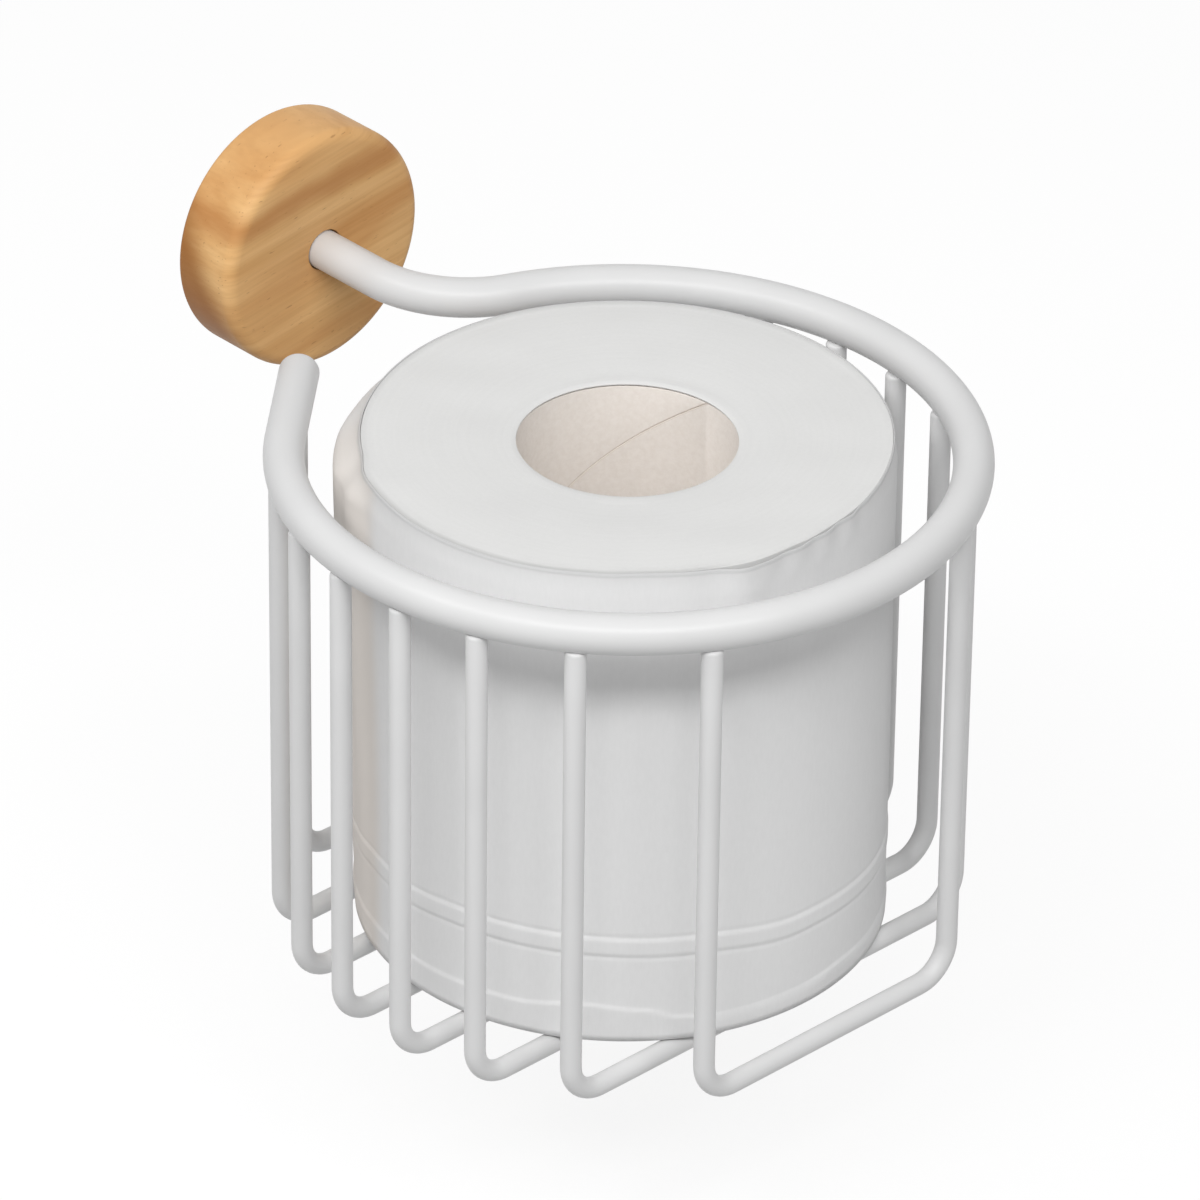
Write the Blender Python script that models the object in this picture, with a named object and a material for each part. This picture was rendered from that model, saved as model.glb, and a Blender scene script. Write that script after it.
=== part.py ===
"""Wall basket for one upright tissue roll: a bent rod ring with U-shaped wires, on a turned wooden disc.

Metres, +Z up. The wall is the plane y = 0 and the room lies on -Y. The Y axis is the axis of the disc
and of the rod's stem, and the ring lies level at z = 0.
"""

from math import atan2, cos, pi, radians, sin, sqrt

import bmesh
import bpy
from mathutils import Matrix, Vector

FIT_GAP = 0.0003             # clearance between pieces that touch on the real thing

ROD_DIAMETER = 0.0080
RING_RADIUS = 0.0660         # to the rod's centreline
RING_REACH = 0.1140          # wall to the ring's centre
RING_SHIFT = 0.0100          # ring's centre lies this far to the left of the stem
STEM_BEND_RADIUS = 0.0240
FREE_END_ANGLE = radians(132.5)   # where the ring straightens, counted from +X round to +Y
FREE_END_LENGTH = 0.0265
TIP_ROUNDING = 0.0014

WIRE_DIAMETER = 0.0042
WIRE_COUNT = 8
END_WIRE_INSET = 0.0089      # first and last wire lie this far inside the circle of the legs
WIRE_BEND_RADIUS = 0.0075
LEG_OUTSET = 0.0010          # left legs stand outside the rod's centreline by this much
RIGHT_LEG_INSET = 0.0027     # right legs stand this much nearer, where the basket is widest
BASKET_DEPTH = 0.1042        # ring's centreline to the centreline of the wires' bottom runs

DISC_DIAMETER = 0.0508
DISC_THICKNESS = 0.0155
DISC_FRONT_ROUNDING = 0.0026
DISC_BACK_ROUNDING = 0.0012
STEM_SEAT_DEPTH = 0.0042

BRACKET_DIAMETER = 0.0320
BRACKET_DEPTH = 0.0070
BRACKET_WALL = 0.0015
WALL_SCREW_HOLE = 0.0045
WALL_SCREW_SPACING = 0.0170

TIE_SCREW_DIAMETER = 0.0040
TIE_SCREW_REACH = 0.0110     # thread inside the stem
TIE_HEAD_DIAMETER = 0.0076
TIE_HEAD_HEIGHT = 0.0022
HEX_KEY = 0.0025             # across the flats
HEX_DEPTH = 0.0012
HEX_SIDES = 6
TAP_SPARE = 0.0015           # tapped hole goes this much deeper than the screw
WASHER_DIAMETER = 0.0090
WASHER_THICKNESS = 0.0008

GRUB_DIAMETER = 0.0030
GRUB_LENGTH = 0.0060
GRUB_KEY = 0.0015
INSERT_DIAMETER = 0.0046
INSERT_LENGTH = 0.0050
INSERT_SINK = 0.0012         # insert's outer end lies this far inside the rim

PAPER_DIAMETER = 0.1030
ROLL_HEIGHT = 0.1052
ROLL_SHIFT_X = 0.0013        # roll's axis from the middle of the basket
ROLL_SHIFT_Y = 0.0018
CORE_BORE = 0.0430
CORE_WALL = 0.0010
WRAP_THICKNESS = 0.0005
WRAP_STAND_OFF = 0.0050      # at the top edge, where it is loosest
WRAP_LOOSE_MIDDLE = radians(140.0)
WRAP_LOOSE_SPREAD = radians(125.0)
WRAP_SEAM_ANGLE = radians(20.0)
WRAP_TURN = radians(354.0)

ROD_SIDES = 20
WIRE_SIDES = 12
TURN_STEPS = 64
SMALL_TURN_STEPS = 24
RING_STEPS = 72
STEM_BEND_STEPS = 9
WIRE_BEND_STEPS = 6
WRAP_STEPS = 70
ROUNDING_STEPS = 4
SHARP_ANGLE = radians(35.0)
MERGE_DISTANCE = 1e-7

rod_radius = ROD_DIAMETER / 2
wire_radius = WIRE_DIAMETER / 2
ring_centre = Vector((-RING_SHIFT, -RING_REACH, 0.0))
leg_circle = RING_RADIUS + LEG_OUTSET
wire_pitch = 2 * (leg_circle - END_WIRE_INSET) / (WIRE_COUNT - 1)
roll_bottom = -BASKET_DEPTH + wire_radius + FIT_GAP
roll_axis = ring_centre + Vector((ROLL_SHIFT_X, ROLL_SHIFT_Y, roll_bottom))
recess_depth = BRACKET_DEPTH + FIT_GAP
seat_floor = DISC_THICKNESS - STEM_SEAT_DEPTH
stem_start = seat_floor + FIT_GAP
tie_hole_radius = TIE_SCREW_DIAMETER / 2 + FIT_GAP
grub_height = (BRACKET_WALL + BRACKET_DEPTH) / 2

for old in list(bpy.data.objects):
    bpy.data.objects.remove(old)


def finish(name, colour, roughness, metallic=0.0):
    """A Principled material of one colour."""
    material = bpy.data.materials.new(name)
    material.use_nodes = True
    shader = material.node_tree.nodes["Principled BSDF"]
    shader.inputs["Base Color"].default_value = (*colour, 1.0)
    shader.inputs["Roughness"].default_value = roughness
    shader.inputs["Metallic"].default_value = metallic
    material.diffuse_color = (*colour, 1.0)
    return material


def empty(name, location=(0.0, 0.0, 0.0)):
    anchor = bpy.data.objects.new(name, None)
    anchor.location = location
    anchor.empty_display_size = DISC_DIAMETER
    bpy.context.collection.objects.link(anchor)
    return anchor


def place(name, bm, material, parent, location=(0.0, 0.0, 0.0), turn=0.0):
    """Makes the object from the bmesh, turned about X, and shades its round faces smooth."""
    bmesh.ops.remove_doubles(bm, verts=bm.verts[:], dist=MERGE_DISTANCE)
    bmesh.ops.recalc_face_normals(bm, faces=bm.faces[:])
    mesh = bpy.data.meshes.new(name)
    bm.to_mesh(mesh)
    bm.free()
    mesh.materials.append(material)
    mesh.shade_smooth()
    mesh.set_sharp_from_angle(angle=SHARP_ANGLE)
    piece = bpy.data.objects.new(name, mesh)
    piece.location = location
    piece.rotation_euler = (turn, 0.0, 0.0)
    piece.parent = parent
    bpy.context.collection.objects.link(piece)
    return piece


def turned(profile, steps):
    """Turns a profile of (radius, z) about Z. A profile that starts and ends on the axis stays open."""
    bm = bmesh.new()
    verts = [bm.verts.new((radius, 0.0, z)) for radius, z in profile]
    pairs = list(zip(verts, verts[1:]))
    if profile[0][0] > 0.0:
        pairs.append((verts[-1], verts[0]))
    edges = [bm.edges.new(pair) for pair in pairs]
    bmesh.ops.spin(
        bm, geom=verts + edges, cent=(0.0, 0.0, 0.0), axis=(0.0, 0.0, 1.0),
        angle=2 * pi, steps=steps, use_merge=True)
    return bm


def rounded_corner(radius_centre, z_centre, rounding, start):
    """Points of a quarter circle of the profile, from the angle start on."""
    angles = [start + step / ROUNDING_STEPS * pi / 2 for step in range(ROUNDING_STEPS + 1)]
    return [(radius_centre + rounding * cos(angle), z_centre + rounding * sin(angle)) for angle in angles]


def hole(piece, name, radius, start, end, parent, sides=SMALL_TURN_STEPS):
    """Cuts a straight hole between two points given in the parent's space."""
    start, end = Vector(start), Vector(end)
    bm = bmesh.new()
    bmesh.ops.create_cone(
        bm, cap_ends=True, segments=sides, radius1=radius, radius2=radius, depth=(end - start).length)
    mesh = bpy.data.meshes.new(name)
    bm.to_mesh(mesh)
    bm.free()
    cutter = bpy.data.objects.new(name, mesh)
    cutter.location = (start + end) / 2
    cutter.rotation_euler = (end - start).to_track_quat("Z", "Y").to_euler()
    cutter.parent = parent
    cutter.hide_render = True
    cutter.display_type = "WIRE"
    bpy.context.collection.objects.link(cutter)
    cut = piece.modifiers.new(name, "BOOLEAN")
    cut.operation = "DIFFERENCE"
    cut.solver = "EXACT"
    cut.object = cutter


def key_socket(piece, name, across_flats, end, inward, parent):
    """Sinks a hexagonal key socket into a screw's end."""
    end, inward = Vector(end), Vector(inward)
    mouth, floor = end - inward * FIT_GAP, end + inward * HEX_DEPTH
    hole(piece, name, across_flats / sqrt(3), mouth, floor, parent, HEX_SIDES)


def grown(bm, face):
    """Extrudes one end face and gives the new end."""
    made = bmesh.ops.extrude_face_region(bm, geom=[face, *face.edges, *face.verts])["geom"]
    return next(item for item in made if isinstance(item, bmesh.types.BMFace))


def straight(bm, face, offset):
    end = grown(bm, face)
    bmesh.ops.translate(bm, verts=end.verts[:], vec=offset)
    return end


def bent(bm, face, centre, axis, angle, steps):
    """Sweeps the end face round an arc."""
    turn = Matrix.Rotation(angle / steps, 3, axis)
    for _ in range(steps):
        face = grown(bm, face)
        bmesh.ops.rotate(bm, verts=face.verts[:], cent=centre, matrix=turn)
    return face


def rod_start(bm, centre, heading, radius, sides):
    """The first face of a swept rod, a disc that looks back against the heading."""
    frame = Matrix.Translation(centre) @ Vector(heading).to_track_quat("Z", "Y").to_matrix().to_4x4()
    made = bmesh.ops.create_circle(bm, cap_ends=True, segments=sides, radius=radius, matrix=frame)
    return next(iter(made["verts"][0].link_faces))


def build_disc(parent):
    outer = DISC_DIAMETER / 2
    seat = rod_radius + FIT_GAP
    recess = BRACKET_DIAMETER / 2 + FIT_GAP
    front = rounded_corner(outer - DISC_FRONT_ROUNDING, DISC_THICKNESS - DISC_FRONT_ROUNDING,
                           DISC_FRONT_ROUNDING, 0.0)
    back = rounded_corner(outer - DISC_BACK_ROUNDING, DISC_BACK_ROUNDING, DISC_BACK_ROUNDING, -pi / 2)
    profile = [(recess, 0.0)] + back + front + [
        (seat, DISC_THICKNESS), (seat, seat_floor), (tie_hole_radius, seat_floor),
        (tie_hole_radius, recess_depth), (recess, recess_depth)]
    beech = finish("beech", (0.53, 0.29, 0.12), 0.5)
    disc = place("wood_disc", turned(profile, TURN_STEPS), beech, parent, turn=pi / 2)
    insert_hole = INSERT_DIAMETER / 2 + FIT_GAP
    hole(disc, "insert_hole", insert_hole, (0.0, -grub_height, -outer - FIT_GAP),
         (0.0, -grub_height, -recess + BRACKET_WALL), parent)


def build_bracket(parent):
    outer = BRACKET_DIAMETER / 2
    inner = outer - BRACKET_WALL
    profile = [(0.0, 0.0), (outer, 0.0), (outer, BRACKET_DEPTH), (inner, BRACKET_DEPTH),
               (inner, BRACKET_WALL), (0.0, BRACKET_WALL)]
    steel = finish("zinc_plated_steel", (0.55, 0.56, 0.57), 0.35, 1.0)
    bracket = place("wall_bracket", turned(profile, TURN_STEPS), steel, parent, turn=pi / 2)
    behind, before = FIT_GAP, -BRACKET_WALL - FIT_GAP
    for side, name in ((-1, "left_screw_hole"), (1, "right_screw_hole")):
        across = side * WALL_SCREW_SPACING / 2
        hole(bracket, name, WALL_SCREW_HOLE / 2, (across, behind, 0.0), (across, before, 0.0), parent)


def build_tie(parent):
    """The washer and the screw that pull the stem into its seat, seen from the wall side."""
    steel = finish("tie_steel", (0.50, 0.51, 0.52), 0.3, 1.0)
    washer_front = recess_depth - FIT_GAP
    washer_back = washer_front - WASHER_THICKNESS
    washer = [(tie_hole_radius, washer_back), (WASHER_DIAMETER / 2, washer_back),
              (WASHER_DIAMETER / 2, washer_front), (tie_hole_radius, washer_front)]
    washer_steel = finish("washer_steel", (0.58, 0.58, 0.59), 0.4, 1.0)
    place("tie_washer", turned(washer, SMALL_TURN_STEPS), washer_steel, parent, turn=pi / 2)
    head_front = washer_back - FIT_GAP
    head_back = head_front - TIE_HEAD_HEIGHT
    shank = TIE_SCREW_DIAMETER / 2
    head = TIE_HEAD_DIAMETER / 2
    profile = [(0.0, head_back), (head, head_back), (head, head_front), (shank, head_front),
               (shank, stem_start + TIE_SCREW_REACH), (0.0, stem_start + TIE_SCREW_REACH)]
    screw = place("tie_screw", turned(profile, SMALL_TURN_STEPS), steel, parent, turn=pi / 2)
    key_socket(screw, "tie_key_socket", HEX_KEY, (0.0, -head_back, 0.0), (0.0, -1.0, 0.0), parent)


def build_clamp(parent):
    """The brass insert in the disc's underside and the grub screw that bites on the bracket."""
    axis_start = (0.0, -grub_height, 0.0)
    insert_outer = DISC_DIAMETER / 2 - INSERT_SINK
    insert_inner = insert_outer - INSERT_LENGTH
    thread = GRUB_DIAMETER / 2 + FIT_GAP
    insert = [(thread, insert_inner), (INSERT_DIAMETER / 2, insert_inner),
              (INSERT_DIAMETER / 2, insert_outer), (thread, insert_outer)]
    brass = finish("brass", (0.70, 0.50, 0.20), 0.35, 1.0)
    place("thread_insert", turned(insert, SMALL_TURN_STEPS), brass, parent, axis_start, pi)
    tip = BRACKET_DIAMETER / 2 + FIT_GAP
    grub = [(0.0, tip), (GRUB_DIAMETER / 2, tip), (GRUB_DIAMETER / 2, tip + GRUB_LENGTH),
            (0.0, tip + GRUB_LENGTH)]
    black = finish("blackened_steel", (0.06, 0.06, 0.06), 0.45, 1.0)
    screw = place("grub_screw", turned(grub, SMALL_TURN_STEPS), black, parent, axis_start, pi)
    lower_end = (0.0, -grub_height, -tip - GRUB_LENGTH)
    key_socket(screw, "grub_key_socket", GRUB_KEY, lower_end, (0.0, 0.0, 1.0), parent)


def build_ring(parent):
    """Stem, bend, ring and free end as one swept rod."""
    bend_x = STEM_BEND_RADIUS
    bend_y = ring_centre.y + sqrt((RING_RADIUS + STEM_BEND_RADIUS) ** 2 - (bend_x - ring_centre.x) ** 2)
    bend_centre = Vector((bend_x, bend_y, 0.0))
    to_bend = bend_centre - ring_centre
    join_angle = atan2(to_bend.y, to_bend.x)
    up = Vector((0.0, 0.0, 1.0))
    bm = bmesh.new()
    start = Vector((0.0, -stem_start, 0.0))
    end = rod_start(bm, start, (0.0, -1.0, 0.0), rod_radius, ROD_SIDES)
    end = straight(bm, end, Vector((0.0, bend_y, 0.0)) - start)
    end = bent(bm, end, bend_centre, up, join_angle, STEM_BEND_STEPS)
    end = bent(bm, end, ring_centre, up, FREE_END_ANGLE - join_angle - 2 * pi, RING_STEPS)
    heading = Vector((sin(FREE_END_ANGLE), -cos(FREE_END_ANGLE), 0.0))
    end = straight(bm, end, heading * FREE_END_LENGTH)
    bmesh.ops.bevel(
        bm, geom=end.edges[:], offset=TIP_ROUNDING, segments=ROUNDING_STEPS, profile=0.5,
        affect="EDGES", material=-1)
    tap_start(bm)
    white = finish("white_paint", (0.78, 0.78, 0.78), 0.35)
    return place("ring_rod", bm, white, parent)


def tap_start(bm):
    """Drills the tapped hole into the stem's first face."""
    bm.normal_update()
    ends = [face for face in bm.faces if len(face.verts) == ROD_SIDES]
    first = max(ends, key=lambda face: face.calc_center_median().y)
    flat_radius = rod_radius * cos(pi / ROD_SIDES)
    bmesh.ops.inset_individual(bm, faces=[first], thickness=flat_radius - tie_hole_radius)
    floor = grown(bm, first)
    bmesh.ops.translate(bm, verts=floor.verts[:], vec=(0.0, -TIE_SCREW_REACH - TAP_SPARE, 0.0))


def build_wires(parent):
    white = finish("white_wire_paint", (0.76, 0.76, 0.76), 0.38)
    across = Vector((0.0, 1.0, 0.0))
    leg_top = -rod_radius - FIT_GAP
    bend_z = -BASKET_DEPTH + WIRE_BEND_RADIUS
    for index in range(WIRE_COUNT):
        from_middle = (index - (WIRE_COUNT - 1) / 2) * wire_pitch
        half_width = sqrt(leg_circle ** 2 - from_middle ** 2)
        y = ring_centre.y + from_middle
        left = ring_centre.x - half_width
        right = ring_centre.x + half_width * (1 - RIGHT_LEG_INSET / leg_circle)
        bm = bmesh.new()
        end = rod_start(bm, (left, y, leg_top), (0.0, 0.0, -1.0), wire_radius, WIRE_SIDES)
        end = straight(bm, end, (0.0, 0.0, bend_z - leg_top))
        end = bent(bm, end, (left + WIRE_BEND_RADIUS, y, bend_z), across, -pi / 2, WIRE_BEND_STEPS)
        end = straight(bm, end, (right - left - 2 * WIRE_BEND_RADIUS, 0.0, 0.0))
        end = bent(bm, end, (right - WIRE_BEND_RADIUS, y, bend_z), across, -pi / 2, WIRE_BEND_STEPS)
        straight(bm, end, (0.0, 0.0, leg_top - bend_z))
        place(f"basket_wire_{index + 1}", bm, white, parent)


def build_roll():
    """Core, wound paper and the loose last turn, standing on the wires."""
    axis = empty("roll_axis", roll_axis)
    core_outer = CORE_BORE / 2 + CORE_WALL
    paper_outer = PAPER_DIAMETER / 2
    paper_inner = (core_outer + FIT_GAP) / cos(pi / TURN_STEPS)
    core = [(CORE_BORE / 2, 0.0), (core_outer, 0.0), (core_outer, ROLL_HEIGHT), (CORE_BORE / 2, ROLL_HEIGHT)]
    paper = [(paper_inner, 0.0), (paper_outer, 0.0), (paper_outer, ROLL_HEIGHT), (paper_inner, ROLL_HEIGHT)]
    place("roll_core", turned(core, TURN_STEPS), finish("cardboard", (0.62, 0.52, 0.43), 0.85), axis)
    place("roll_paper", turned(paper, TURN_STEPS), finish("tissue", (0.80, 0.80, 0.80), 0.95), axis)

    tight = (paper_outer + FIT_GAP) / cos(WRAP_TURN / WRAP_STEPS / 2)
    bm = bmesh.new()
    angles = [WRAP_SEAM_ANGLE + WRAP_TURN * step / WRAP_STEPS for step in range(WRAP_STEPS + 1)]
    lower = [bm.verts.new((tight * cos(angle), tight * sin(angle), 0.0)) for angle in angles]
    edges = [bm.edges.new(pair) for pair in zip(lower, lower[1:])]
    raised = bmesh.ops.extrude_edge_only(bm, edges=edges)["geom"]
    upper = [item for item in raised if isinstance(item, bmesh.types.BMVert)]
    for vert in upper:
        outward = vert.co.normalized()
        vert.co += outward * WRAP_STAND_OFF * looseness(atan2(vert.co.y, vert.co.x))
        vert.co.z = ROLL_HEIGHT
    wrap = place("roll_wrap", bm, finish("loose_tissue", (0.78, 0.76, 0.73), 0.95), axis)
    shell = wrap.modifiers.new("thickness", "SOLIDIFY")
    shell.thickness = WRAP_THICKNESS
    shell.offset = 1.0


def looseness(angle):
    """0 where the last turn lies tight and 1 where it stands off most."""
    away = (angle - WRAP_LOOSE_MIDDLE + pi) % (2 * pi) - pi
    if abs(away) >= WRAP_LOOSE_SPREAD / 2:
        return 0.0
    return cos(away / WRAP_LOOSE_SPREAD * pi) ** 2


holder = empty("holder")
build_disc(holder)
build_bracket(holder)
build_tie(holder)
build_clamp(holder)
ring = build_ring(holder)
build_wires(ring)
build_roll()
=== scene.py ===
from math import atan2, cos, degrees, hypot, pi, radians, sin, sqrt, tau

import bmesh
import bpy
from mathutils import Matrix, Vector, noise


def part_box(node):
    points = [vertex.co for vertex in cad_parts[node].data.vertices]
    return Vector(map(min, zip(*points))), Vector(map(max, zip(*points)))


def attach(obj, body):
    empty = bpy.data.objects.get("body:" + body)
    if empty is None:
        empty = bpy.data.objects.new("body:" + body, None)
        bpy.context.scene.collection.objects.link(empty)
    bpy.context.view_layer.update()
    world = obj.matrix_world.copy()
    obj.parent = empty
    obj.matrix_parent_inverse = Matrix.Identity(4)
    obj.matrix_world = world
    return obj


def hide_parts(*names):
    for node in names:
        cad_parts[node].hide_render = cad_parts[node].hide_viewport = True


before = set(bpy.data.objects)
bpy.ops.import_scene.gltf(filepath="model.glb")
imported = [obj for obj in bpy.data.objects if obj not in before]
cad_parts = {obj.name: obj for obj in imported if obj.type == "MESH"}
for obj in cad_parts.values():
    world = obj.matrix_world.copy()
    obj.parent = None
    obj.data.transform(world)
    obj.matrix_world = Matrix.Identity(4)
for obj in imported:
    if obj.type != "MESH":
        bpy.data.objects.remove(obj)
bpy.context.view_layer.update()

# A wall basket for one tissue roll. Sizes are in metres, the wall is y = 0 and the room is on -y.
mm = 0.001
nearby = 0.02 * mm       # a vertex this near to a ring or a level lies on it
merged = 0.002 * mm      # vertices this close become one
print("frame loaded")


def linear(code):
    parts = [int(code[i:i + 2], 16) / 255 for i in (1, 3, 5)]
    return (*[c / 12.92 if c <= 0.04045 else ((c + 0.055) / 1.055) ** 2.4 for c in parts], 1.0)


def addNode(tree, kind, links=None, **settings):
    # links holds a value or another node's socket for each input, by name or by number
    node = tree.nodes.new(kind)
    for name, value in settings.items():
        setattr(node, name, value)
    for name, value in (links or {}).items():
        if isinstance(value, bpy.types.NodeSocket):
            tree.links.new(value, node.inputs[name])
        else:
            node.inputs[name].default_value = value
    return node


def newFinish(name, colour, roughness, metallic=0.0):
    finish = bpy.data.materials.new(name)
    finish.use_nodes = True
    finish.diffuse_color = linear(colour)
    shader = finish.node_tree.nodes["Principled BSDF"]
    shader.inputs["Base Color"].default_value = linear(colour)
    shader.inputs["Roughness"].default_value = roughness
    shader.inputs["Metallic"].default_value = metallic
    return finish, finish.node_tree, shader


def newPiece(name, bm, finish, body, nodes, sharpAngle=40):
    bmesh.ops.remove_doubles(bm, verts=bm.verts[:], dist=merged)
    bmesh.ops.recalc_face_normals(bm, faces=bm.faces[:])
    mesh = bpy.data.meshes.new(name)
    bm.to_mesh(mesh)
    bm.free()
    mesh.materials.append(finish)
    mesh.shade_smooth()
    mesh.set_sharp_from_angle(angle=radians(sharpAngle))
    piece = bpy.data.objects.new(name, mesh)
    bpy.context.collection.objects.link(piece)
    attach(piece, body)
    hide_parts(*nodes)
    return piece


def carve(piece, name, cutter, sharpAngle):
    # takes the cutter's shape out of a piece and keeps the result as its mesh
    mesh = bpy.data.meshes.new(name)
    bmesh.ops.recalc_face_normals(cutter, faces=cutter.faces[:])
    cutter.to_mesh(mesh)
    cutter.free()
    tool = bpy.data.objects.new(name, mesh)
    bpy.context.collection.objects.link(tool)
    cut = piece.modifiers.new(name, "BOOLEAN")
    cut.operation, cut.solver, cut.object = "DIFFERENCE", "EXACT", tool
    bpy.context.view_layer.update()
    evaluated = piece.evaluated_get(bpy.context.evaluated_depsgraph_get())
    piece.data = bpy.data.meshes.new_from_object(evaluated)
    piece.modifiers.clear()
    bpy.data.objects.remove(tool)
    piece.data.shade_smooth()
    piece.data.set_sharp_from_angle(angle=radians(sharpAngle))


def edgesAmong(verts):
    chosen = set(verts)
    return list({
        edge for vert in verts for edge in vert.link_edges if edge.other_vert(vert) in chosen})


def vertsIn(made):
    return [item for item in made if isinstance(item, bmesh.types.BMVert)]


def turned(bm, points, centre, axis, steps):
    # turns a closed line of points a full turn about an axis
    verts = [bm.verts.new(point) for point in points]
    edges = [bm.edges.new(pair) for pair in zip(verts, verts[1:] + verts[:1])]
    bmesh.ops.spin(
        bm, geom=verts + edges, cent=centre, axis=axis, angle=tau, steps=steps, use_merge=True)


def softenRing(bm, isOnRing, width, segments):
    # rounds the edges that run along a ring
    edges = [edge for edge in bm.edges if all(isOnRing(vert.co) for vert in edge.verts)]
    bmesh.ops.bevel(
        bm, geom=edges, offset=width, segments=segments, profile=0.5, affect="EDGES",
        material=-1)


def startRod(bm, centre, heading, radius, sides):
    # the round section that a rod grows from
    turn = Vector(heading).to_track_quat("Z", "Y").to_matrix().to_4x4()
    made = bmesh.ops.create_circle(
        bm, segments=sides, radius=radius, matrix=Matrix.Translation(centre) @ turn)
    return made["verts"]


def runStraight(bm, verts, offset, steps):
    for _ in range(steps):
        verts = vertsIn(bmesh.ops.extrude_edge_only(bm, edges=edgesAmong(verts))["geom"])
        bmesh.ops.translate(bm, verts=verts, vec=Vector(offset) / steps)
    return verts


def runBend(bm, verts, centre, axis, angle, steps):
    made = bmesh.ops.spin(
        bm, geom=verts + edgesAmong(verts), cent=centre, axis=axis, angle=angle, steps=steps)
    return vertsIn(made["geom_last"])


def closeEnd(bm, verts, rounding, segments):
    face = bmesh.ops.contextual_create(bm, geom=edgesAmong(verts))["faces"][0]
    bmesh.ops.bevel(
        bm, geom=face.edges[:], offset=rounding, segments=segments, profile=0.5,
        affect="EDGES", material=-1)


def smoothStep(low, high, value):
    share = min(1.0, max(0.0, (value - low) / (high - low)))
    return share * share * (3 - 2 * share)


disc = dict(
    radius=25.4 * mm, thickness=15.5 * mm,
    recessRadius=16.3 * mm, recessDepth=7.3 * mm,
    seatRadius=4.3 * mm, seatDepth=4.2 * mm, screwHole=2.3 * mm,
    # rounding of each edge and its segments
    frontEdge=(2.6 * mm, 9), backEdge=(1.2 * mm, 5),
    recessEdge=(0.4 * mm, 2), seatEdge=(0.25 * mm, 2),
    insertHole=2.6 * mm, insertDepth=4.25 * mm, insertReach=10.6 * mm, insertSides=48,
    drillStart=1.0 * mm,                 # the drill starts this far below the rim
    steps=160, sharpAngle=30,
    paleWood="#E8BC82", roughness=0.5, specular=0.22,
    grainTilt=radians(8.4), grainBend=0.2, grainRoughness=0.55,
    grainDepth=0.05 * mm, grainStrength=0.3,
    # what lies over the pale wood: size along, across and up the grain in mm, detail of the
    # noise, where it starts and is full, how strong it is, colour, and how much it dents
    figure=(
        (60.0, 14.0, 3.4, 3.0, 0.36, 0.66, 0.65, "#CB965B", 0.0),     # growth layers
        (45.0, 30.0, 12.0, 1.0, 0.42, 0.62, 0.5, "#C2854A", 0.0),     # broad reddish patches
        (16.0, 4.0, 0.5, 2.0, 0.42, 0.72, 0.15, "#A97745", 0.5),      # fibres
        (2.4, 0.6, 0.33, 0.0, 0.76, 0.83, 0.4, "#8A5B30", 1.0)),      # rays, 3 times too wide
    # one darker growth band crosses the upper half
    bandHeight=14.5 * mm, bandWidth=4.5 * mm, bandWander=7 * mm, bandWanderLength=22 * mm,
    bandStrength=0.65, bandColour="#AE7139",
    # painted shade: the rim is darker at its lower left, where it faces away from the lamps
    shadedRimSide=Vector((-0.8, 1.2, -0.6)), shadedRimFrom=4 * mm, shadedRimFull=16 * mm,
    shadedRimStrength=0.85, shadedRimColour="#935A20")


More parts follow.
